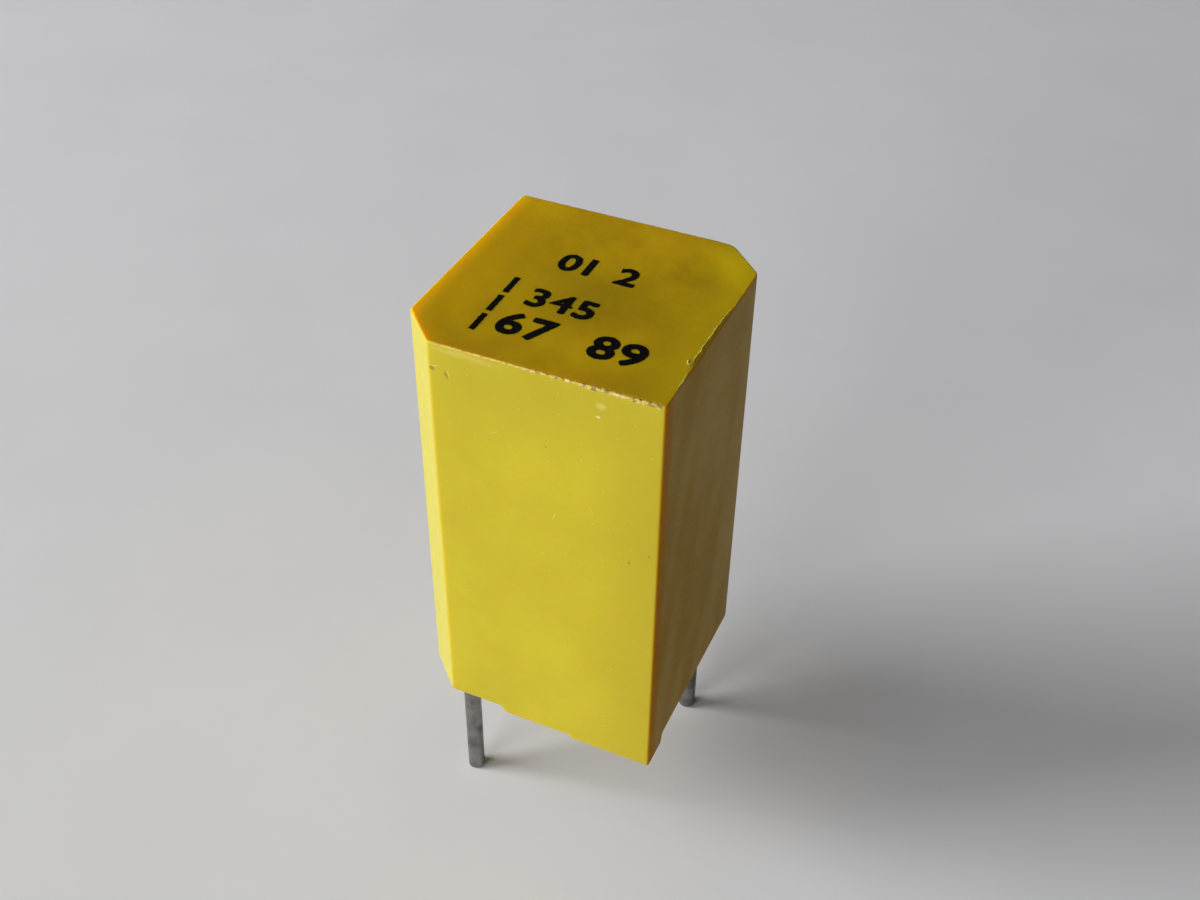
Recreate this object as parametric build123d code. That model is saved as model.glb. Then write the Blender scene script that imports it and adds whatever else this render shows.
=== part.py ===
from build123d import *
from math import sqrt
import os

# Radial film capacitor in a potted box, in millimetres
# X runs along the front wall, Y from the front to the back, Z up
# Origin: midway between the leads, on the plane that the feet stand on

# Moulded case
case_width = 7.2
case_depth = 7.25
case_height = 12.26
case_wall = 0.45
case_roof = 0.6
cut_blend = 0.45
plain_corner_round = 0.25
roof_edge_round = 0.1
inner_corner_round = 0.15

# Shallow hollow that shrinkage leaves in the closed face
sink_depth = 0.05
sink_margin = 0.45

# Feet: the rim runs deeper round the two plain corners
foot_height = 0.32
foot_run = 2.4
foot_return = 0.95
step_height = 0.21
step_run = 2.1

# Leads: tinned wire, set in from the outer walls so that they land on a 5.08 mm grid
lead_inset_x = 1.06
lead_inset_y = 1.085
lead_wall_gap = 0.075
lead_diameter = 0.5
lead_length = 4.25
lead_bend = 0.6
lead_exit_bend = 2.0
lead_tip_bevel = 0.06
lead_overlap = 1.5
lead_roll_gap = 0.15

# Wound element
roll_side_gap = 0.35
mandrel_bore = 1.0
foil_edge_height = 0.4
foil_edge_inset = 0.3

# Solder that holds each lead on the foil
solder_radius = 0.7
solder_film = 0.06
solder_inset = 0.05

# Casting resin
resin_recess = 0.3
resin_cover = 0.5
meniscus_depth = 0.2
meniscus_margin = 0.15
collar_width = 0.3
collar_height = 0.22
collar_lip = 0.05

# Heights that follow from the sizes above
rim_z = foot_height
roof_z = rim_z + case_height
ceiling_z = roof_z - case_roof
resin_z = rim_z + resin_recess
end_space = resin_cover + lead_diameter + solder_film + foil_edge_height
roll_bottom_z = resin_z + meniscus_depth + end_space
roll_top_z = ceiling_z - end_space
lead_exit_z = resin_z - collar_height

# Radii and directions that follow from the sizes above
roll_radius = min(case_width, case_depth) / 2 - case_wall - roll_side_gap
foil_edge_radius = roll_radius - foil_edge_inset
lead_radius = lead_diameter / 2
lead_place = Vector(case_width / 2 - lead_inset_x, case_depth / 2 - lead_inset_y, 0)
lead_reach = lead_place.length
lead_start = foil_edge_radius - lead_overlap
lead_shoulder = roll_radius + lead_roll_gap + lead_radius
outward = lead_place.normalized()

# Leg of the two corner cuts, whose wall stands off the wire inside it
corner_cut = lead_inset_x + lead_inset_y - sqrt(2) * (lead_radius + lead_wall_gap + case_wall)


def outline(inset):
    """Rectangle with its two lead corners cut, drawn in from the outer walls by inset."""
    half_x = case_width / 2 - inset
    half_y = case_depth / 2 - inset
    leg = corner_cut - inset * (2 - sqrt(2))
    border = Polyline(
        (-half_x + leg, -half_y),
        (half_x, -half_y),
        (half_x, half_y - leg),
        (half_x - leg, half_y),
        (-half_x, half_y),
        (-half_x, -half_y + leg),
        close=True,
    )
    face = make_face(border)
    plain = face.vertices().filter_by(lambda v: v.X * v.Y < 0)
    face = fillet(plain, max(plain_corner_round - inset, inner_corner_round))
    cut_ends = face.vertices().filter_by(lambda v: v.X * v.Y > 0)
    return fillet(cut_ends, cut_blend)


def prism(inset, low_z, high_z):
    """Upright solid of the outline between two heights."""
    return Pos(0, 0, low_z) * extrude(outline(inset), high_z - low_z)


def shallow_cap(radius, depth):
    """Sphere whose lowest cap has this radius and depth, with the cap's rim at Z = 0."""
    sphere_radius = (radius ** 2 + depth ** 2) / (2 * depth)
    return Pos(0, 0, sphere_radius - depth) * Sphere(sphere_radius)


def foot():
    """Deeper rim round the front right corner, with its lower step along the front wall."""
    corner_x = case_width / 2
    front_y = -case_depth / 2
    rim_wall = outline(0) - outline(case_wall)
    front_strip = Rectangle(foot_run, case_wall, align=(Align.MAX, Align.MIN))
    side_strip = Rectangle(case_wall, foot_return, align=(Align.MAX, Align.MIN))
    step_strip = Rectangle(step_run, case_wall, align=(Align.MAX, Align.MIN))
    corner_patch = rim_wall & (Pos(corner_x, front_y) * (front_strip + side_strip))
    step_patch = rim_wall & (Pos(corner_x - foot_run, front_y) * step_strip)
    tall = extrude(corner_patch, foot_height)
    low = Pos(0, 0, foot_height - step_height) * extrude(step_patch, step_height)
    return tall + low


def moulded_case():
    """Cup with its closed face up, its rim down and a foot at each plain corner."""
    body = prism(0, rim_z, roof_z)
    body = fillet(body.faces().sort_by(Axis.Z)[-1].edges(), roof_edge_round)
    sink_radius = min(case_width, case_depth) / 2 - sink_margin
    body -= Pos(0, 0, roof_z) * shallow_cap(sink_radius, sink_depth)
    body -= prism(case_wall, rim_z, ceiling_z)
    front_foot = foot()
    back_foot = Rot(0, 0, 180) * foot()
    return body + front_foot + back_foot


def wound_roll():
    """Film and foil turns as one roll, with the bore that the mandrel left."""
    height = roll_top_z - roll_bottom_z
    roll = Cylinder(roll_radius, height, align=(Align.CENTER, Align.CENTER, Align.MIN))
    bore = Cylinder(mandrel_bore / 2, height, align=(Align.CENTER, Align.CENTER, Align.MIN))
    return Pos(0, 0, roll_bottom_z) * (roll - bore)


def foil_edge(low_z):
    """Ring of foil turns that stand out of one end of the roll."""
    ring = Cylinder(foil_edge_radius, foil_edge_height, align=(Align.CENTER, Align.CENTER, Align.MIN))
    bore = Cylinder(mandrel_bore / 2, foil_edge_height, align=(Align.CENTER, Align.CENTER, Align.MIN))
    return Pos(0, 0, low_z) * (ring - bore)


def lead(direction, wire_z):
    """Wire that lies across one end of the roll, leans out past it and hangs plumb from the resin."""
    side = direction.cross(Vector(0, 0, 1))
    plane = Plane(origin=(0, 0, 0), x_dir=direction, z_dir=side)
    route = plane * FilletPolyline(
        (lead_start, wire_z),
        (lead_shoulder, wire_z),
        (lead_reach, lead_exit_z),
        (lead_reach, -lead_length),
        radius=[lead_bend, lead_exit_bend],
    )
    section = Plane(origin=route @ 0, z_dir=route % 0) * Circle(lead_radius)
    wire = sweep(section, path=route)
    tip = wire.faces().sort_by(Axis.Z)[0]
    return chamfer(tip.edges(), lead_tip_bevel)


def solder_joint(direction, face_z, up, wire):
    """Loaf of solder on a foil face, drawn along the wire that it holds."""
    inner = lead_start + solder_inset + solder_radius / 2
    outer = foil_edge_radius - solder_inset - solder_radius
    length = outer - inner
    axis = Plane(origin=direction * inner + Vector(0, 0, face_z), z_dir=direction)
    bar = Cylinder(solder_radius, length, align=(Align.CENTER, Align.CENTER, Align.MIN))
    loaf = axis * (bar + Sphere(solder_radius) + Pos(0, 0, length) * Sphere(solder_radius))
    seat = Align.MIN if up else Align.MAX
    keep = Box(case_width, case_depth, solder_radius * 2, align=(Align.CENTER, Align.CENTER, seat))
    return (loaf & (Pos(0, 0, face_z) * keep)) - wire


def potting(buried):
    """Resin that fills the case round the element, with a dished surface and a collar at each lead."""
    resin = prism(case_wall, resin_z, ceiling_z)
    meniscus_radius = min(case_width, case_depth) / 2 - case_wall - meniscus_margin
    resin -= Pos(0, 0, resin_z) * Rot(180, 0, 0) * shallow_cap(meniscus_radius, meniscus_depth)
    collar = Cone(
        lead_radius + collar_lip,
        lead_radius + collar_width,
        collar_height * 2,
        align=(Align.CENTER, Align.CENTER, Align.MIN),
    )
    for place in (lead_place, lead_place * -1):
        resin += Pos(place.X, place.Y, lead_exit_z) * collar
    resin &= prism(case_wall, rim_z, ceiling_z)
    for piece in buried:
        resin -= piece
    return resin


# Heights of the two wires, each held off its foil face by a film of solder
lower_face_z = roll_bottom_z - foil_edge_height
upper_face_z = roll_top_z + foil_edge_height
lower_wire_z = lower_face_z - solder_film - lead_radius
upper_wire_z = upper_face_z + solder_film + lead_radius

left_lead = lead(outward * -1, lower_wire_z)
right_lead = lead(outward, upper_wire_z)

nodes = {
    "winding": wound_roll(),
    "lower_foil_edge": foil_edge(lower_face_z),
    "upper_foil_edge": foil_edge(roll_top_z),
    "lower_solder": solder_joint(outward * -1, lower_face_z, False, left_lead),
    "upper_solder": solder_joint(outward, upper_face_z, True, right_lead),
    "left_lead": left_lead,
    "right_lead": right_lead,
}
nodes["potting"] = potting(list(nodes.values()))
nodes["case"] = moulded_case()

os.makedirs("parts", exist_ok=True)
for name, shape in nodes.items():
    export_step(shape, f"parts/{name}.step")
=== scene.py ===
from math import atan2, cos, hypot, pi, radians, sin, sqrt, tan

import bmesh
import bpy
import numpy as np
from mathutils import Matrix, Vector, noise


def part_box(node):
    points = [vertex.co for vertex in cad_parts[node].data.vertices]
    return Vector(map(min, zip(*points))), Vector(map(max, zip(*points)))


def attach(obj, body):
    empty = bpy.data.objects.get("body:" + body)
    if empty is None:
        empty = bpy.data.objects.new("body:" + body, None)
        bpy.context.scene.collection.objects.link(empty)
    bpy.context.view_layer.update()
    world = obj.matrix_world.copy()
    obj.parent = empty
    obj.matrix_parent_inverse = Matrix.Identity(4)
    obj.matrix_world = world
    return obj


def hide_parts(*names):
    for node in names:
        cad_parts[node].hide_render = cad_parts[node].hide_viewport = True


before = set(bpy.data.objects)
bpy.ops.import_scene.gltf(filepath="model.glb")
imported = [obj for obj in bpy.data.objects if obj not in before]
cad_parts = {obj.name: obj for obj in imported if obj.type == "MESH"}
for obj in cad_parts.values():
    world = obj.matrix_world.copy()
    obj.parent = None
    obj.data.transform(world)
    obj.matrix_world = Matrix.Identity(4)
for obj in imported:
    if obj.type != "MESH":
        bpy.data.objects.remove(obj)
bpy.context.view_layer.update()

# All shapes are worked out in millimetres and turned into metres when a mesh is made
MM = 0.001

# Sizes of the moulded case that its box alone doesn't give
case_wall = 0.45
case_roof = 0.6
corner_cut = 1.05
roof_edge_round = 0.05
rim_edge_round = 0.06
foot_height = 0.32
foot_run = 2.4
foot_return = 0.95
step_height = 0.21
step_run = 2.1
step_blend = 0.07

# Places read from the frame
case_low, case_high = (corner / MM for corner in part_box("case"))
half_x = case_high.x
half_y = case_high.y
roof_z = case_high.z
rim_z = case_low.z + foot_height
ceiling_z = roof_z - case_roof
floor_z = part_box("left_lead")[0].z / MM


def rise(low, high, value):
    """0 at low, 1 at high and smooth between, for numbers and arrays."""
    t = np.clip((value - low) / (high - low), 0, 1)
    return t * t * (3 - 2 * t)


def lumps(x, y, z, size, octaves=3):
    """Smooth noise from about -1 to 1 whose largest lumps are size millimetres across."""
    return noise.fractal(Vector((x, y, z)) / size, 0.6, 2.1, octaves)


def add_piece(name, data):
    """Object with this mesh, camera or lamp, linked to the scene."""
    piece = bpy.data.objects.new(name, data)
    bpy.context.scene.collection.objects.link(piece)
    return piece


def mesh_piece(name, points, faces):
    """Smooth object with a mesh of these points, in millimetres, and faces."""
    mesh = bpy.data.meshes.new(name)
    mesh.from_pydata([tuple(p) for p in np.asarray(points) * MM], [], faces)
    mesh.validate()
    for polygon in mesh.polygons:
        polygon.use_smooth = True
    return add_piece(name, mesh)


def mesh_from_curve(curve):
    """Mesh of a curve or text, through an object that is removed again."""
    source = add_piece(curve.name, curve)
    mesh = bpy.data.meshes.new_from_object(source)
    bpy.data.objects.remove(source)
    return mesh


# Outline of the case, seen from above and taken anticlockwise from the front left cut.
# Each corner has its kind, its side along X and Y, its round and the steps of the side that follows it.

ARC_STEPS = 12
SMALLEST_ROUND = 0.02
OUTLINE_CORNERS = (
    ("cut start", -1, -1, 0.2, 140),
    ("plain", 1, -1, 0.08, 140),
    ("cut end", 1, 1, 0.45, 22),
    ("cut start", 1, 1, 0.45, 64),
    ("plain", -1, 1, 0.14, 72),
    ("cut end", -1, -1, 0.2, 34),
)


def outline(inset):
    """Points of the case's outline, drawn in by inset, always with the same count and order."""
    x, y = half_x - inset, half_y - inset
    leg = corner_cut - inset * (2 - sqrt(2))
    corners = []
    for kind, side_x, side_y, _, _ in OUTLINE_CORNERS:
        cut_x = leg if kind == "cut start" else 0
        cut_y = leg if kind == "cut end" else 0
        corners.append(Vector((side_x * (x - cut_x), side_y * (y - cut_y))))
    arcs = []
    for i, here in enumerate(corners):
        back = (here - corners[i - 1]).normalized()
        ahead = (corners[(i + 1) % len(corners)] - here).normalized()
        turn = back.angle(ahead)
        radius = max(OUTLINE_CORNERS[i][3] - inset, SMALLEST_ROUND)
        centre = here - back * radius * tan(turn / 2) + Vector((-back.y, back.x)) * radius
        first = atan2(-back.x, back.y)
        angles = [first + turn * k / ARC_STEPS for k in range(ARC_STEPS + 1)]
        arcs.append([centre + Vector((cos(a), sin(a))) * radius for a in angles])
    points = []
    for i, arc in enumerate(arcs):
        steps = OUTLINE_CORNERS[i][4]
        goal = arcs[(i + 1) % len(arcs)][0]
        points += arc + [arc[-1].lerp(goal, k / steps) for k in range(1, steps)]
    return np.array([tuple(p) for p in points])


# How far past a wall's thickness a point still counts as on the wall
WALL_SLACK = 0.02


def rim_drop(x, y):
    """How far the rim reaches below its plain level: a foot at each plain corner, with its lower step."""
    drop = 0.0
    for turn in (1, -1):
        u, v = x * turn, y * turn
        from_corner = half_x - u
        if v < -half_y + case_wall + WALL_SLACK:
            foot = 1 - rise(foot_run - step_blend, foot_run + step_blend, from_corner)
            step_end = foot_run + step_run
            step = 1 - rise(step_end - step_blend, step_end + step_blend, from_corner)
            drop = max(drop, step * step_height + foot * (foot_height - step_height))
        if u > half_x - case_wall - WALL_SLACK:
            along = v + half_y
            foot = 1 - rise(foot_return - step_blend, foot_return + step_blend, along)
            drop = max(drop, foot * foot_height)
    return drop


# Closed face: a shallow rippled hollow, a soft fall at the back right cut and a slope outside the middle fin.
# The slope has its low and high end along Y and the length over which each end fades.

HOLLOW_DEPTH = 0.05
HOLLOW_START = -0.3
HOLLOW_BORDER = 1.0
RIPPLE_HEIGHT = 0.006
RIPPLE_SIZE = 2.0
CUT_FALL = 0.015
CUT_FALL_WIDTH = 0.45
SLOPE_DEPTH = 0.035
SLOPE_WIDTH = 0.13
SLOPE_LOW_Y, SLOPE_LOW_FADE = -2.2, 0.4
SLOPE_HIGH_Y, SLOPE_HIGH_FADE = 1.2, 0.9


def cut_distance(x, y):
    """Distance from a place on the closed face to the back right cut."""
    return (half_x + half_y - corner_cut - x - y) / sqrt(2)


def edge_distance(x, y):
    """Distance from a place on the closed face to its nearest edge."""
    cut = min(cut_distance(x, y), cut_distance(-x, -y))
    return min(half_x - abs(x), half_y - abs(y), cut)


def roof_fall(x, y):
    """How far the closed face falls toward its soft and worn edges."""
    fall = CUT_FALL * (1 - rise(0, CUT_FALL_WIDTH, cut_distance(x, y)))
    low_end = rise(SLOPE_LOW_Y, SLOPE_LOW_Y + SLOPE_LOW_FADE, y)
    high_end = 1 - rise(SLOPE_HIGH_Y - SLOPE_HIGH_FADE, SLOPE_HIGH_Y, y)
    slope = max(0.0, 1 - max(half_x - x, 0) / SLOPE_WIDTH)
    return float(fall + SLOPE_DEPTH * (low_end * high_end) * slope)


def roof_height(x, y):
    """Height of the closed face above its edge plane."""
    inner = 1.0
    for distance in (half_x - abs(x), half_y - abs(y), cut_distance(x, y), cut_distance(-x, -y)):
        inner *= float(rise(HOLLOW_START, HOLLOW_BORDER, distance))
    ripple = RIPPLE_HEIGHT * lumps(x, y, 3.0, RIPPLE_SIZE) * inner
    return ripple - HOLLOW_DEPTH * inner - roof_fall(x, y)


# Wear along the closed face's edges. The front edge's worn strip widens toward the front right corner and
# has chips and crumbs. The other edges are only rubbed.

WORN_BELOW = 0.7
WORN_INSIDE = 0.4
FRONT_STRIP = 0.4
CORNER_SPARED = 0.1
WIDEN_START, WIDEN_END = -1.5, 3.4
NARROW_WEAR = 0.06
ADDED_WEAR = 0.12
CHIP_SIZE, CHIP_LIMIT = 0.1, 0.1
CHIP_DROP = 0.09
CHIP_SETBACK = 0.06
CRUMB_SIZE, CRUMB_LIMIT = 0.07, 0.15
CRUMB_HEIGHT = 0.05
RUBBED_WIDTH = 0.05
RUBBED_SHARE = 0.35


def wear_edges(points):
    """Chips the mesh points along the closed face's edges and returns how worn each one is."""
    worn = np.zeros(len(points))
    for i, (x, y, z) in enumerate(points):
        below = roof_z - z
        if below > WORN_BELOW or edge_distance(x, y) > WORN_INSIDE:
            continue
        depth = hypot(max(below, 0), max(edge_distance(x, y), 0))
        beside_corners = x < half_x - CORNER_SPARED and cut_distance(-x, -y) > CORNER_SPARED
        if y < -half_y + FRONT_STRIP and beside_corners:
            widening = rise(WIDEN_START, WIDEN_END, x)
            reach = NARROW_WEAR + ADDED_WEAR * widening * (0.6 + 0.6 * lumps(x, 0, 0, 0.5))
            worn[i] = max(0.0, 1 - depth / reach)
            chip = max(0.0, lumps(x + 9, y, z, CHIP_SIZE) - CHIP_LIMIT) * widening
            points[i][2] -= CHIP_DROP * chip * worn[i]
            points[i][1] += CHIP_SETBACK * chip * worn[i]
            crumb = max(0.0, lumps(x, y, z + 5, CRUMB_SIZE) - CRUMB_LIMIT)
            points[i][2] += CRUMB_HEIGHT * crumb * worn[i]
        elif depth < RUBBED_WIDTH:
            worn[i] = RUBBED_SHARE * (1 - depth / RUBBED_WIDTH)
    return worn


# Rings of the case's skin. The walls follow the rim's feet up to a height, and are straight above it.
# The ends of the skin are rings shrunk toward a middle point.

CEILING_SHRINKS = (0.3, 0.6, 0.85)
FACE_SHRINKS = (0.9, 0.78, 0.64, 0.5, 0.36, 0.22, 0.1)
FACE_INSETS = np.concatenate([np.linspace(0.08, 0.32, 8), np.linspace(0.4, 1.3, 13)])
UPPER_WALL_DEPTHS = np.concatenate([np.linspace(1.5, 0.3, 20), np.linspace(0.27, 0, 12)])
QUARTER_TURN = np.linspace(0, pi / 2, 5)
INNER_FOLLOW = 1.0
OUTER_FOLLOW = 1.2


def case_rings():
    """Rings of the ceiling, inner walls, rim with feet, outer walls and closed face, in this order."""
    drops = np.array([rim_drop(x, y) for x, y in outline(0)])
    rings = []

    def add(inset, height, follow_rim=0.0, shrink=1.0):
        rings.append(np.column_stack([outline(inset) * shrink, height - follow_rim * drops]))

    for shrink in CEILING_SHRINKS:
        add(case_wall, ceiling_z, shrink=shrink)
    for height in np.linspace(ceiling_z, rim_z + 1.2, 6):
        add(case_wall, height)
    for height in np.linspace(rim_z + 0.9, rim_z + rim_edge_round, 5):
        add(case_wall, height, 1 - (height - rim_z) / INNER_FOLLOW)
    for angle in QUARTER_TURN[1:]:
        add(case_wall - rim_edge_round * (1 - cos(angle)), rim_z + rim_edge_round * (1 - sin(angle)), 1)
    add(case_wall / 2, rim_z, 1)
    for angle in QUARTER_TURN:
        add(rim_edge_round * (1 - sin(angle)), rim_z + rim_edge_round * (1 - cos(angle)), 1)
    for height in np.linspace(rim_z + 0.12, rim_z + OUTER_FOLLOW, 8):
        add(0, height, max(0.0, 1 - (height - rim_z) / OUTER_FOLLOW))
    wall_top = roof_z - roof_edge_round
    middle = np.linspace(rim_z + 1.5, wall_top - 1.7, 26)
    for height in np.concatenate([middle, wall_top - UPPER_WALL_DEPTHS]):
        add(0, height)
    for angle in QUARTER_TURN[1:]:
        add(roof_edge_round * (1 - cos(angle)), wall_top + roof_edge_round * sin(angle))
    for inset in FACE_INSETS:
        add(inset, roof_z)
    for shrink in FACE_SHRINKS:
        add(FACE_INSETS[-1], roof_z, shrink=shrink)
    return rings


# Depths below the face where its falls start and are full on the walls, and how far in a wall's points lie
FALL_BELOW = 0.5
FALL_FULL = 0.1
FALL_INSIDE = 0.2


def shape_closed_face(points):
    """Gives the closed face its heights and lets the walls below it follow its falls."""
    for point in points:
        x, y, z = point
        if z > roof_z - 1e-6:
            point[2] += roof_height(x, y)
        elif z > roof_z - FALL_BELOW and edge_distance(x, y) < FALL_INSIDE:
            point[2] -= roof_fall(x, y) * rise(roof_z - FALL_BELOW, roof_z - FALL_FULL, z)


def skin_faces(ring_count, count):
    """Faces between rings of count points, closed at each end round a middle point that follows the rings."""
    faces = []
    last = (ring_count - 1) * count
    for low in range(0, last, count):
        high = low + count
        for i in range(count):
            j = (i + 1) % count
            faces.append((low + i, low + j, high + j, high + i))
    inner = ring_count * count
    outer = inner + 1
    for i in range(count):
        j = (i + 1) % count
        faces.append((inner, j, i))
        faces.append((outer, last + i, last + j))
    return faces


def case_shell():
    """The moulded case as one closed skin, whose worn attribute says how worn each point is."""
    rings = case_rings()
    points = np.concatenate(rings + [[(0, 0, ceiling_z), (0, 0, roof_z)]])
    shape_closed_face(points)
    worn = wear_edges(points)
    shell = mesh_piece("case_shell", points, skin_faces(len(rings), len(rings[0])))
    layer = shell.data.attributes.new("worn", "FLOAT", "POINT")
    layer.data.foreach_set("value", worn.astype(np.float32))
    return shell


# Flash: thin ragged fins that the mould left along the right edge of the closed face.
# Each fin has its low and high end along Y and its height.
# A fin stands in from the edge by a share of the inset, and the bow's share is added between its two ends.

FLASH_FINS = ((-1.76, 0.84, 0.06), (-2.95, -2.12, 0.04), (1.05, 1.45, 0.02))
FLASH_INSET = 0.11
END_SHARE, BOW_SHARE = 0.45, 0.55
BOW_LOW_Y = (-2.4, -1.6)
BOW_HIGH_Y = (0.2, 1.2)
FIN_STEP = 0.02
FIN_THICKNESS = 0.02
FIN_WANDER = 0.02
FIN_LEAN = 0.02
FIN_FADE = 0.35
LOWEST_CREST = 0.002
LEFT_SUNK, RIGHT_SUNK = 0.02, 0.03
CURL_POINTS = ((3.50, -1.78), (3.455, -1.86), (3.40, -1.85), (3.365, -1.76), (3.36, -1.68))
CURL_RADIUS = 0.014


def flash_fins():
    """Fins with a three-sided section, sunk a little into the closed face."""
    points, faces = [], []
    for low, high, tall in FLASH_FINS:
        steps = max(int((high - low) / FIN_STEP), 4)
        first = len(points)
        for k in range(steps + 1):
            y = low + (high - low) * k / steps
            bow = END_SHARE + BOW_SHARE * rise(*BOW_LOW_Y, y) * (1 - rise(*BOW_HIGH_Y, y))
            x = half_x - FLASH_INSET * bow + FIN_WANDER * lumps(y, 2, 0, 0.35)
            base = roof_z + roof_height(x, y)
            crest = tall * sin(pi * k / steps) ** FIN_FADE * (0.75 + 0.5 * lumps(y, 7, 0, 0.12))
            lean = FIN_LEAN * lumps(y, 4, 0, 0.2)
            points += [
                (x - FIN_THICKNESS, y, base - LEFT_SUNK),
                (x + lean, y, base + max(crest, LOWEST_CREST)),
                (x + FIN_THICKNESS, y, base - RIGHT_SUNK),
            ]
            if k:
                a, b = first + 3 * (k - 1), first + 3 * k
                faces += [(a + m, a + (m + 1) % 3, b + (m + 1) % 3, b + m) for m in range(3)]
        end = len(points) - 3
        faces += [(first + 2, first + 1, first), (end, end + 1, end + 2)]
    return mesh_piece("mould_flash", points, faces)


def flash_curl():
    """Short thread of flash that has come loose and curls in over the closed face."""
    path = bpy.data.curves.new("curl", "CURVE")
    path.dimensions = "3D"
    path.bevel_depth = CURL_RADIUS
    path.bevel_resolution = 3
    path.use_fill_caps = True
    line = path.splines.new("NURBS")
    line.points.add(len(CURL_POINTS) - 1)
    line.use_endpoint_u = True
    for knot, (x, y) in zip(line.points, CURL_POINTS):
        knot.co = (x, y, roof_z + roof_height(x, y) + CURL_RADIUS, 1)
    mesh = mesh_from_curve(path)
    mesh.transform(Matrix.Scale(MM, 4))
    mesh.name = "flash_curl"
    return add_piece("flash_curl", mesh)


# Printed marks: plain digits in rows and a dashed bar. Each run has its left end, baseline and height.
# The weight is how far a stroke's edge is moved out, as a share of the height.

DIGIT_RUNS = (
    ("0", -1.22, 0.68, 0.74),
    ("1", -0.47, 0.68, 0.74),
    ("2", 0.4, 0.66, 0.74),
    ("345", -1.2, -1.16, 0.76),
    ("67", -1.38, -2.48, 0.88),
    ("89", 1.05, -2.48, 0.88),
)
DIGIT_WIDEN = 1.1
DIGIT_SPACING = 1.08
DIGIT_WEIGHT = 0.05
BORDER_STEP = 0.04
INK_THICKNESS = 0.012
INK_RAGGED = 0.012
DASH_X = -1.86
DASH_WIDTH = 0.16
DASH_TOP = -0.15
DASH_LENGTH = 0.74
DASH_GAP = 0.15
DASH_COUNT = 3


def flat_digits(text, left, baseline, height):
    """Flat marks of one run of digits on the plane Z = 0, in millimetres."""
    curve = bpy.data.curves.new("digits", "FONT")
    curve.body = text
    curve.resolution_u = 8
    curve.space_character = DIGIT_SPACING
    mesh = mesh_from_curve(curve)
    first = min(v.co.x for v in mesh.vertices)
    lowest = min(v.co.y for v in mesh.vertices)
    tallest = max(v.co.y for v in mesh.vertices)
    scale = height / (tallest - lowest)
    for v in mesh.vertices:
        v.co.x = left + (v.co.x - first) * scale * DIGIT_WIDEN
        v.co.y = baseline + (v.co.y - lowest) * scale
    flat = bmesh.new()
    flat.from_mesh(mesh)
    bpy.data.meshes.remove(mesh)
    embolden(flat, height * DIGIT_WEIGHT)
    return flat


def split_border(flat):
    """Joins points that coincide and halves the border's edges, five times at most, down to a border step."""
    bmesh.ops.remove_doubles(flat, verts=flat.verts, dist=1e-5)
    for _ in range(5):
        border = [e for e in flat.edges if e.is_boundary and e.calc_length() > BORDER_STEP]
        bmesh.ops.subdivide_edges(flat, edges=border, cuts=1)


def embolden(flat, weight):
    """Moves the border of flat marks outward by weight."""
    split_border(flat)
    outward = {}
    for edge in flat.edges:
        if edge.is_boundary:
            start = edge.link_loops[0].vert
            run = edge.other_vert(start).co - start.co
            side = 1 if edge.link_faces[0].normal.z > 0 else -1
            away = Vector((run.y, -run.x, 0)).normalized() * side
            for v in edge.verts:
                outward[v] = outward.get(v, Vector()) + away
    for v, away in outward.items():
        v.co += away.normalized() * weight


def add_dashes(marks):
    """Adds the dashed bar's dashes as flat faces."""
    for k in range(DASH_COUNT):
        high = DASH_TOP - k * (DASH_LENGTH + DASH_GAP)
        low = high - DASH_LENGTH
        left, right = DASH_X - DASH_WIDTH / 2, DASH_X + DASH_WIDTH / 2
        corners = ((left, low), (right, low), (right, high), (left, high))
        marks.faces.new([marks.verts.new((x, y, 0)) for x, y in corners])


def printed_marks():
    """Thin ink on the closed face, with the slightly ragged edge of a stamp."""
    marks = bmesh.new()
    for run in DIGIT_RUNS:
        flat = flat_digits(*run)
        carrier = bpy.data.meshes.new("run")
        flat.to_mesh(carrier)
        flat.free()
        marks.from_mesh(carrier)
        bpy.data.meshes.remove(carrier)
    add_dashes(marks)
    split_border(marks)
    for v in marks.verts:
        if v.is_boundary:
            place = v.co.copy()
            v.co.x += INK_RAGGED * lumps(place.x, place.y, 1.0, 0.1)
            v.co.y += INK_RAGGED * lumps(place.x, place.y, 5.0, 0.1)
    bmesh.ops.triangulate(marks, faces=marks.faces)
    grown = bmesh.ops.extrude_face_region(marks, geom=list(marks.faces))
    for v in grown["geom"]:
        if isinstance(v, bmesh.types.BMVert):
            v.co.z += INK_THICKNESS
    bmesh.ops.recalc_face_normals(marks, faces=marks.faces)
    for v in marks.verts:
        v.co.z += roof_z + roof_height(v.co.x, v.co.y) - INK_THICKNESS / 2
        v.co *= MM
    mesh = bpy.data.meshes.new("printed_marks")
    marks.to_mesh(mesh)
    marks.free()
    return add_piece("printed_marks", mesh)


# Materials


def colour(red, green, blue):
    """Linear colour that covers fully."""
    return (red, green, blue, 1.0)


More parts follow.
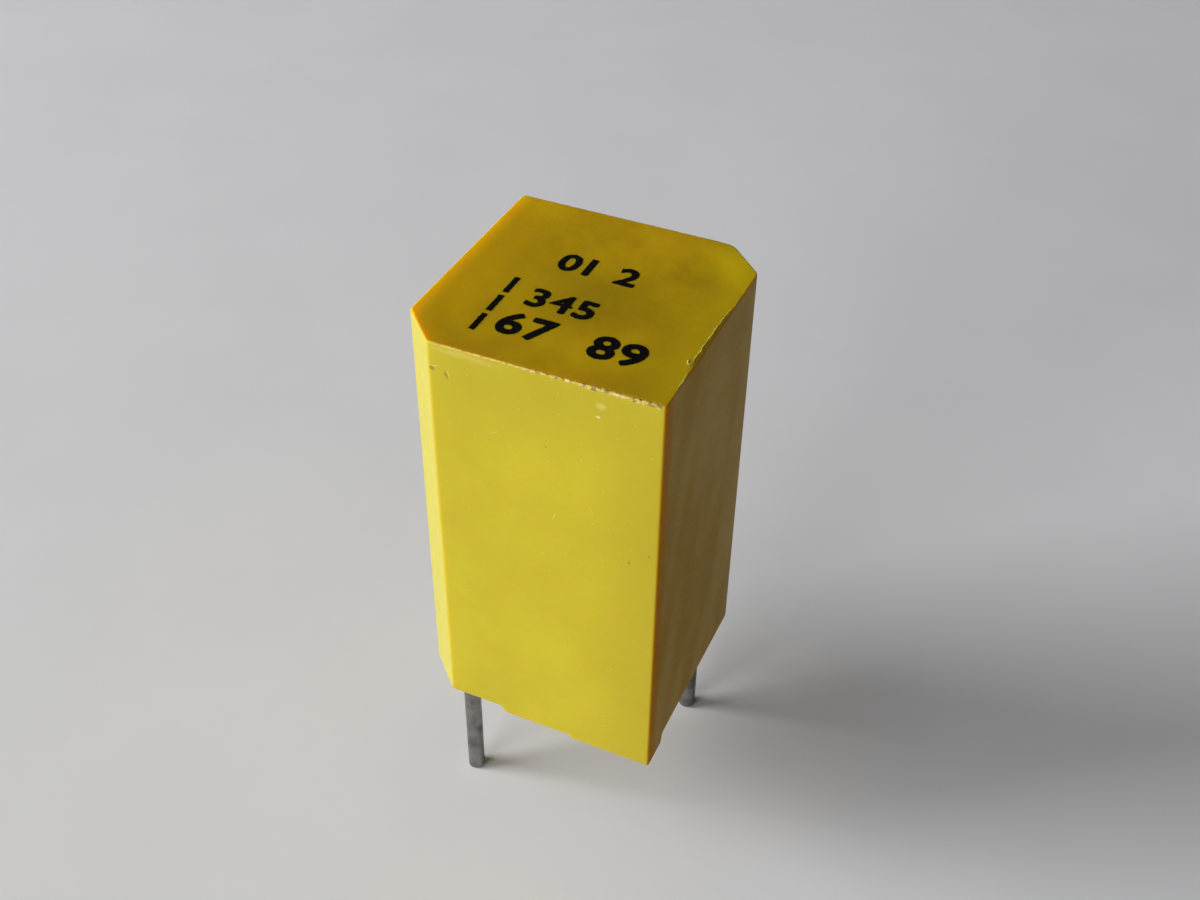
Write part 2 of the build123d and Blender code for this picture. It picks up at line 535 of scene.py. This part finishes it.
class Shader:
    """A Principled material whose nodes are added by short calls."""

    def __init__(self, name):
        """Makes the material, and its place in millimetres for patterns to use."""
        self.material = bpy.data.materials.new(name)
        self.material.use_nodes = True
        self.tree = self.material.node_tree
        self.main = self.tree.nodes["Principled BSDF"]
        scaled = self.node("ShaderNodeVectorMath", operation="SCALE")
        self.join(self.node("ShaderNodeTexCoord").outputs["Object"], scaled.inputs[0])
        scaled.inputs["Scale"].default_value = 1 / MM
        self.place = scaled.outputs[0]

    def node(self, kind, **settings):
        """New node with these settings."""
        made = self.tree.nodes.new(kind)
        for name, value in settings.items():
            setattr(made, name, value)
        return made

    def join(self, value, socket):
        """Links another node's output to a socket, or sets the socket to a number or colour."""
        if isinstance(value, bpy.types.NodeSocket):
            self.tree.links.new(value, socket)
        else:
            socket.default_value = value

    def set(self, **values):
        """Joins values to the main shader's sockets of these names."""
        for name, value in values.items():
            self.join(value, self.main.inputs[name.replace("_", " ")])

    def parts(self, vector):
        """X, Y and Z of a vector."""
        split = self.node("ShaderNodeSeparateXYZ")
        self.join(vector, split.inputs[0])
        return split.outputs[:]

    def vector(self, operation, first, second=(0, 0, 0)):
        """Result of one operation on vectors."""
        made = self.node("ShaderNodeVectorMath", operation=operation)
        self.join(first, made.inputs[0])
        self.join(second, made.inputs[1])
        return made.outputs["Value" if operation == "LENGTH" else "Vector"]

    def math(self, operation, first, second=0.0):
        """Result of one operation on numbers."""
        made = self.node("ShaderNodeMath", operation=operation)
        self.join(first, made.inputs[0])
        self.join(second, made.inputs[1])
        return made.outputs[0]

    def times(self, *masks):
        """Product of masks and numbers."""
        product = masks[0]
        for mask in masks[1:]:
            product = self.math("MULTIPLY", product, mask)
        return product

    def either(self, *masks):
        """Strongest of several masks."""
        strongest = masks[0]
        for mask in masks[1:]:
            strongest = self.math("MAXIMUM", strongest, mask)
        return strongest

    def placed(self, centre, turn, reach):
        """Coordinates from a centre, turned, and divided by a reach along each axis."""
        made = self.node("ShaderNodeMapping", vector_type="TEXTURE")
        self.join(self.place, made.inputs["Vector"])
        made.inputs["Location"].default_value = centre
        made.inputs["Rotation"].default_value = turn
        made.inputs["Scale"].default_value = reach
        return made.outputs[0]

    def noise(self, size, detail=3.0, stretch=(1, 1, 1), turn=(0, 0, 0)):
        """Noise from 0 to 1 whose lumps are size millimetres across, times stretch along each axis."""
        made = self.node("ShaderNodeTexNoise")
        made.inputs["Scale"].default_value = 1.0
        made.inputs["Detail"].default_value = detail
        self.join(self.placed((0, 0, 0), turn, tuple(size * s for s in stretch)), made.inputs["Vector"])
        return made.outputs["Fac"]

    def dots(self, spacing, radius, share):
        """Mask of round dots on a share of the points of a loose scatter."""
        made = self.node("ShaderNodeTexVoronoi")
        made.inputs["Scale"].default_value = 1 / spacing
        self.join(self.place, made.inputs["Vector"])
        split = self.node("ShaderNodeSeparateColor")
        self.join(made.outputs["Color"], split.inputs[0])
        near = self.ramp(made.outputs["Distance"], radius / spacing, 0.5 * radius / spacing)
        return self.times(near, self.ramp(split.outputs[0], share, share * 0.98))

    def spot(self, centre, reach, turn=(0, 0, 0), soft=0.5):
        """Mask of one oval spot: its centre and half sizes in millimetres, and its turn."""
        return self.ramp(self.vector("LENGTH", self.placed(centre, turn, reach)), 1.0, 1.0 - soft)

    def face_spot(self, x, y, reach_x, reach_y):
        """Mask of one wide soft oval on the closed face."""
        return self.spot((x, y, roof_z), (reach_x, reach_y, 2.0), soft=0.9)

    def front_spot(self, x, z, reach_x, reach_z, turn=0.0, soft=0.5):
        """Mask of one small oval on the front wall."""
        return self.spot((x, -half_y, z), (reach_x, 0.3, reach_z), (0, turn, 0), soft)

    def ramp(self, value, low, high, start=0.0, end=1.0):
        """Smooth step of a value, from start at low to end at high."""
        made = self.node("ShaderNodeMapRange", interpolation_type="SMOOTHSTEP")
        self.join(value, made.inputs["Value"])
        if low > high:
            low, high, start, end = high, low, end, start
        for name, number in (("From Min", low), ("From Max", high), ("To Min", start), ("To Max", end)):
            made.inputs[name].default_value = number
        return made.outputs[0]

    def mix(self, factor, first, second):
        """First colour at factor 0, second at factor 1."""
        made = self.node("ShaderNodeMix", data_type="RGBA")
        self.join(factor, made.inputs[0])
        self.join(first, made.inputs[6])
        self.join(second, made.inputs[7])
        return made.outputs[2]

    def bump(self, height, strength, distance):
        """Fine relief, whose distance is in millimetres."""
        made = self.node("ShaderNodeBump")
        made.inputs["Strength"].default_value = strength
        made.inputs["Distance"].default_value = distance * MM
        self.join(height, made.inputs["Height"])
        self.join(made.outputs[0], self.main.inputs["Normal"])


def wall_colour(s, x, z, ny, cuts):
    """Clouded walls: darker at the top of the front wall, painted shade at its right, and a painted highlight
    paler on the front left cut.
    """
    walls = s.mix(s.ramp(s.noise(2.2), 0.3, 0.7), colour(0.49, 0.395, 0.004), colour(0.53, 0.435, 0.006))
    front = s.ramp(ny, -0.7, -0.95)
    # Painted shade: the right of the front wall is darkened, as a shallow sink in the wall would shade it
    right = s.times(s.ramp(x, 1.4, 3.4, 0, 0.8), front)
    walls = s.mix(right, walls, colour(0.43, 0.335, 0.003))
    upper = s.times(s.ramp(z, 9.5, 12.0, 0, 0.85), s.ramp(x, -3.2, -1.4), front)
    walls = s.mix(upper, walls, colour(0.45, 0.365, 0.004))
    # Painted highlight: the front left cut is paler and bluer, where the lamps' sheen falls
    painted_highlight_cut = s.times(cuts, s.ramp(x, 0, -1))
    return s.mix(painted_highlight_cut, walls, colour(0.53, 0.465, 0.055))


def face_colour(s, x):
    """Closed face, tinted warmer than the walls as painted light: painted shade dull in the middle, olive at
    the right, a painted highlight bright at the back right and a painted glow warm at the left.
    """
    face = s.mix(s.ramp(s.noise(1.6, 4), 0.35, 0.7), colour(0.55, 0.335, 0.001), colour(0.64, 0.41, 0.001))
    # Painted shade: the shallow middle hollow is darkened
    hollow = s.face_spot(0.5, -0.2, 2.9, 2.3)
    face = s.mix(s.times(hollow, 0.75), face, colour(0.40, 0.265, 0.001))
    # Painted shade: a soft mottled dark blotch toward the back right
    painted_shade_blotch = s.times(s.face_spot(2.0, 1.9, 1.5, 1.1), s.ramp(s.noise(0.5), 0.3, 0.65))
    face = s.mix(s.times(painted_shade_blotch, 0.5), face, colour(0.30, 0.20, 0.001))
    face = s.mix(s.ramp(x, 1.6, 3.0, 0, 0.5), face, colour(0.45, 0.34, 0.001))
    # Painted highlight: a wide bright spot at the back right corner
    bright = s.face_spot(3.2, 3.0, 1.5, 1.9)
    face = s.mix(s.times(bright, 0.8), face, colour(0.68, 0.50, 0.001))
    # Painted glow: warm orange along the left border, strongest at the very edge, as light through the
    # plastic
    painted_glow_band = s.ramp(s.math("ADD", x, s.times(s.noise(0.5), 0.25)), -1.8, -3.1)
    face = s.mix(painted_glow_band, face, colour(0.70, 0.43, 0.001))
    return s.mix(s.ramp(x, -3.1, -3.55), face, colour(0.86, 0.56, 0.001))


def add_dust_and_painted_shade(s, base, x, y, nx, ny, cuts):
    """Brown film on the right wall past a strip of painted glow, on the back right cut and on the back wall:
    dust that also carries painted shade, with greyish streaks of painted sheen.
    """
    # Painted shade and sheen: the film's brown darkens walls turned from the lamps, and its greyish streaks
    # along the mould's draw marks are painted sheen
    streaks = s.noise(1.0, 0, stretch=(1, 1, 4), turn=(-0.25, 0, 0))
    film = s.mix(s.ramp(streaks, 0.3, 0.7), colour(0.365, 0.21, 0.028), colour(0.435, 0.275, 0.06))
    film = s.mix(s.ramp(s.noise(1.4, 5), 0.5, 0.75, 0, 0.5), film, colour(0.35, 0.21, 0.035))
    film = s.mix(s.ramp(y, 1.2, 3.6, 0, 0.4), film, colour(0.52, 0.37, 0.13))
    past_glow_strip = s.ramp(s.math("ADD", y, s.times(s.noise(0.8), 0.2)), -3.3, -2.9)
    right = s.times(s.ramp(nx, 0.3, 0.8), s.ramp(x, half_x - 0.3, half_x - 0.2))
    back = s.times(s.ramp(ny, 0.55, 0.95), s.ramp(y, half_y - 0.3, half_y - 0.2))
    cut_line = half_x + half_y - corner_cut
    back_cut = s.times(cuts, s.ramp(s.math("ADD", x, y), cut_line - 0.5, cut_line - 0.4))
    dust_and_shade_cover = s.either(s.times(right, past_glow_strip), s.times(back, 0.5), s.times(back_cut, 0.8))
    # Painted glow: the whole right wall is first made deep orange, as light bleeding through the front right
    # corner, and shows so in the strip before the film
    base = s.mix(right, base, colour(0.42, 0.175, 0.001))
    return s.mix(dust_and_shade_cover, base, film)


def add_marks(s, base, nz):
    """Specks on all walls and marks on the front wall. Also gives the mask of those that are dents."""
    specks = s.times(s.dots(0.15, 0.026, 0.16), s.ramp(nz, 0.9, 0.6))
    base = s.mix(s.times(specks, 0.6), base, colour(0.66, 0.58, 0.16))
    nicks = s.either(s.front_spot(-2.44, 11.82, 0.1, 0.07, 0.3), s.front_spot(-2.06, 11.73, 0.05, 0.12, -0.5))
    base = s.mix(s.times(nicks, 0.8), base, colour(0.30, 0.17, 0.02))
    chip = s.front_spot(1.93, 11.77, 0.07, 0.05)
    rough = s.either(
        s.front_spot(2.0, 12.09, 0.2, 0.16, soft=0.9),
        s.front_spot(-0.82, 10.39, 0.21, 0.016, -0.5),
        s.front_spot(-2.36, 11.92, 0.16, 0.03, -0.15),
        s.front_spot(-1.99, 11.76, 0.025, 0.13, -0.4),
    )
    pale = s.either(chip, s.times(rough, s.noise(0.06)))
    base = s.mix(s.times(pale, 0.65), base, colour(0.78, 0.70, 0.28))
    faint = s.either(s.front_spot(0.78, 8.28, 0.025, 0.16, 0.35), s.front_spot(1.75, 8.88, 0.05, 0.02, 0.6))
    base = s.mix(s.times(faint, 0.35), base, colour(0.78, 0.70, 0.28))
    dark = s.either(
        s.front_spot(0.58, 10.42, 0.03, 0.03),
        s.front_spot(2.82, 7.5, 0.035, 0.05),
        s.front_spot(3.35, 7.9, 0.03, 0.04),
    )
    base = s.mix(s.times(dark, 0.7), base, colour(0.12, 0.07, 0.02))
    rubbed = s.times(s.front_spot(-1.6, 12.42, 1.3, 0.13, 0.04, soft=0.7), s.ramp(s.noise(0.2), 0.3, 0.6))
    base = s.mix(s.times(rubbed, 0.45), base, colour(0.62, 0.50, 0.12))
    return base, s.either(nicks, chip)


def add_scuffs(s, base, x):
    """Scuffed edge: pale torn plastic with dark gaps, stronger toward the right."""
    worn = s.node("ShaderNodeAttribute", attribute_name="worn").outputs["Fac"]
    torn = s.times(s.ramp(worn, 0.1, 0.5), s.ramp(s.noise(0.07, 2), 0.46, 0.6), s.ramp(x, -3, 3, 0.35, 0.9))
    base = s.mix(torn, base, colour(0.64, 0.58, 0.27))
    gaps = s.times(s.ramp(worn, 0.2, 0.5), s.ramp(s.noise(0.12, 2), 0.52, 0.62), s.ramp(x, -3, 1, 0.3, 0.9))
    return s.mix(gaps, base, colour(0.18, 0.13, 0.03))


def moulded_yellow(name, gloss):
    """Yellow moulded plastic with its dust, marks and scuffs and painted shade, highlights and glow, which
    lets light spread inside it.
    """
    s = Shader(name)
    x, y, z = s.parts(s.place)
    nx, ny, nz = s.parts(s.node("ShaderNodeNewGeometry").outputs["True Normal"])
    cuts = s.ramp(s.times(nx, ny), 0.3, 0.45)
    # The closed face takes its own warmer colour, which is painted warm light from above, and the walls take
    # theirs
    base = s.mix(s.ramp(nz, 0.6, 0.9), wall_colour(s, x, z, ny, cuts), face_colour(s, x))
    base = add_dust_and_painted_shade(s, base, x, y, nx, ny, cuts)
    base, dents = add_marks(s, base, nz)
    base = add_scuffs(s, base, x)
    s.set(Base_Color=base, Roughness=s.ramp(s.noise(0.5, 4), 0.3, 0.7, 0.38, 0.5))
    s.set(Specular_IOR_Level=gloss)
    s.set(Subsurface_Weight=0.8, Subsurface_Radius=(1.0, 0.45, 0.04), Subsurface_Scale=0.4 * MM)
    s.bump(s.math("SUBTRACT", s.times(s.noise(0.14), 0.4), dents), 0.5, 0.02)
    return s.material


def thin_flash():
    """Thin plastic that lets light through, painted paler than the case to stand for that light."""
    s = Shader("thin_flash")
    base = s.mix(s.ramp(s.noise(0.1), 0.4, 0.6), colour(0.86, 0.70, 0.18), colour(0.66, 0.50, 0.05))
    s.set(Base_Color=base, Roughness=s.ramp(s.noise(0.05), 0.3, 0.7, 0.35, 0.6))
    s.set(Subsurface_Weight=1.0, Subsurface_Radius=(1.0, 0.6, 0.1), Subsurface_Scale=0.3 * MM)
    s.bump(s.noise(0.05), 0.3, 0.005)
    return s.material


def stamped_ink():
    """Black ink, thin in places, so that a little of the plastic shows as pinholes."""
    s = Shader("stamped_ink")
    thin = s.ramp(s.noise(0.05, 2), 0.68, 0.74)
    s.set(Base_Color=s.mix(thin, colour(0.004, 0.003, 0.003), colour(0.1, 0.08, 0.01)))
    s.set(Roughness=s.ramp(s.noise(0.2), 0.3, 0.7, 0.45, 0.6), Specular_IOR_Level=0.15)
    s.bump(s.noise(0.06), 0.3, 0.006)
    return s.material


def cast_resin():
    """Yellow casting resin with a glossy skin and a few small bubbles."""
    s = Shader("cast_resin")
    base = s.mix(s.ramp(s.noise(1.5), 0.3, 0.7), colour(0.36, 0.25, 0.03), colour(0.44, 0.33, 0.06))
    bubbles = s.dots(0.5, 0.09, 0.15)
    s.set(Base_Color=s.mix(bubbles, base, colour(0.2, 0.13, 0.02)))
    s.set(Roughness=s.ramp(s.noise(0.8), 0.3, 0.7, 0.2, 0.35))
    s.bump(s.math("SUBTRACT", s.noise(0.9), bubbles), 0.4, 0.04)
    return s.material


def tinned_wire():
    """Tinned wire gone dull, with faint drawing lines along it."""
    s = Shader("tinned_wire")
    lines = s.noise(0.04, 3, stretch=(1, 1, 40))
    base = s.mix(s.ramp(s.noise(0.5, 4), 0.35, 0.7), colour(0.29, 0.29, 0.275), colour(0.13, 0.13, 0.12))
    s.set(Base_Color=base, Metallic=1.0, Roughness=s.ramp(lines, 0.3, 0.7, 0.3, 0.5))
    s.bump(lines, 0.3, 0.008)
    return s.material


def soft_solder():
    """Dull grey solder with a faint grain."""
    s = Shader("soft_solder")
    base = s.mix(s.noise(0.2), colour(0.4, 0.4, 0.4), colour(0.55, 0.55, 0.54))
    s.set(Base_Color=base, Metallic=1.0, Roughness=s.ramp(s.noise(0.1), 0.3, 0.7, 0.4, 0.6))
    s.bump(s.noise(0.15), 0.3, 0.02)
    return s.material


def rolled_turns(name, dark, bright, turns_per_mm, metallic):
    """End of a roll: fine rings of foil and film round its axis."""
    s = Shader(name)
    from_axis = s.vector("LENGTH", s.vector("MULTIPLY", s.place, (1, 1, 0)))
    turns = s.math("SINE", s.times(from_axis, 2 * pi * turns_per_mm))
    s.set(Base_Color=s.mix(s.ramp(turns, -1, 1), dark, bright), Metallic=metallic)
    s.set(Roughness=s.ramp(s.noise(0.3), 0.3, 0.7, 0.25, 0.45))
    s.bump(turns, 0.4, 0.02)
    return s.material


def pale_floor():
    """Plain pale floor with a faint grain."""
    s = Shader("pale_floor")
    base = s.mix(s.ramp(s.noise(6.0, 4), 0.3, 0.7), colour(0.84, 0.84, 0.855), colour(0.86, 0.86, 0.875))
    s.set(Base_Color=base, Roughness=0.8, Specular_IOR_Level=0.2)
    s.bump(s.noise(0.8, 4), 0.1, 0.05)
    return s.material


def dress(piece, material):
    """Gives a piece, or a carried-over node, its only material."""
    piece.data.materials.clear()
    piece.data.materials.append(material)


# Camera: its place is measured in millimetres from the middle of the closed face, its near and far limits
# in metres

CAMERA_OFFSET = (12.654, -27.921, 19.865)
CAMERA_AZIMUTH = radians(23.69)
CAMERA_ELEVATION = radians(39.19)
CAMERA_ROLL = radians(0.88)
CAMERA_LENS = 43.77
CAMERA_SENSOR = 36.0
CAMERA_NEAR = 0.001
CAMERA_FAR = 10


def set_camera():
    """Camera that looks down on the object from the front, a little to the right."""
    camera = add_piece("camera", bpy.data.cameras.new("camera"))
    camera.data.lens = CAMERA_LENS
    camera.data.sensor_width = CAMERA_SENSOR
    camera.data.clip_start = CAMERA_NEAR
    camera.data.clip_end = CAMERA_FAR
    turn = Matrix.Rotation(CAMERA_AZIMUTH, 4, "Z") @ Matrix.Rotation(pi / 2 - CAMERA_ELEVATION, 4, "X")
    turn @= Matrix.Rotation(CAMERA_ROLL, 4, "Z")
    place = (Vector(CAMERA_OFFSET) + Vector((0, 0, roof_z))) * MM
    camera.matrix_world = Matrix.Translation(place) @ turn
    bpy.context.scene.camera = camera


# Soft lamps: direction they shine from, distance and side in millimetres, and how bright a white
# surface facing them looks, as a share of full white

LAMPS = (
    ("left", (-0.84, -0.40, 0.36), 500, 240, 0.92),
    ("front", (-0.25, -0.96, 0.14), 500, 240, 0.66),
    ("high", (-0.45, -0.4, 0.8), 600, 420, 0.22),
    ("right", (0.95, -0.3, 0.25), 600, 420, 0.05),
)
SURROUND = (0.03, 0.03, 0.032)


def set_lights():
    """Low soft light from the left and the front, a dimmer one above and a dark surround."""
    for name, direction, distance, side, strength in LAMPS:
        lamp = bpy.data.lights.new(name, "AREA")
        lamp.shape = "SQUARE"
        lamp.size = side * MM
        lamp.energy = strength * (pi * distance * MM) ** 2
        light = add_piece(name, lamp)
        aim = Vector(direction).normalized()
        light.rotation_mode = "QUATERNION"
        light.rotation_quaternion = aim.to_track_quat("Z", "Y")
        light.location = (aim * distance + Vector((0, 0, roof_z / 2))) * MM
    world = bpy.data.worlds.new("surround")
    world.use_nodes = True
    world.node_tree.nodes["Background"].inputs["Color"].default_value = colour(*SURROUND)
    bpy.context.scene.world = world
    bpy.context.scene.view_settings.view_transform = "Standard"


FLOOR_REACH = 2000


def lay_floor():
    """Wide plain floor that the lead tips touch."""
    signs = ((-1, -1), (1, -1), (1, 1), (-1, 1))
    corners = [(a * FLOOR_REACH, b * FLOOR_REACH, floor_z) for a, b in signs]
    floor = mesh_piece("floor", corners, [(0, 1, 2, 3)])
    dress(floor, pale_floor())


set_camera()
set_lights()
lay_floor()

shell = case_shell()
dress(shell, moulded_yellow("moulded_yellow", 0.4))
# The outer right wall is dusty, and so less glossy, and its colour also carries painted shade
shell.data.materials.append(moulded_yellow("dusty_shaded_yellow", 0.02))
for wall in shell.data.polygons:
    if wall.normal.x > 0.5 and wall.center.x > (half_x - 0.1) * MM:
        wall.material_index = 1
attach(shell, "root")
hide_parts("case")

flash_material = thin_flash()
for fin in (flash_fins(), flash_curl()):
    dress(fin, flash_material)
    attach(fin, "root")

ink = printed_marks()
dress(ink, stamped_ink())
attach(ink, "root")

node_materials = {
    "potting": cast_resin(),
    "lead": tinned_wire(),
    "solder": soft_solder(),
    "foil_edge": rolled_turns("foil_turns", colour(0.5, 0.5, 0.5), colour(0.8, 0.8, 0.8), 10, 1.0),
    "winding": rolled_turns("film_turns", colour(0.5, 0.51, 0.5), colour(0.7, 0.71, 0.7), 14, 0.0),
}
for node_name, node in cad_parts.items():
    for ending, material in node_materials.items():
        if node_name.endswith(ending):
            dress(node, material)
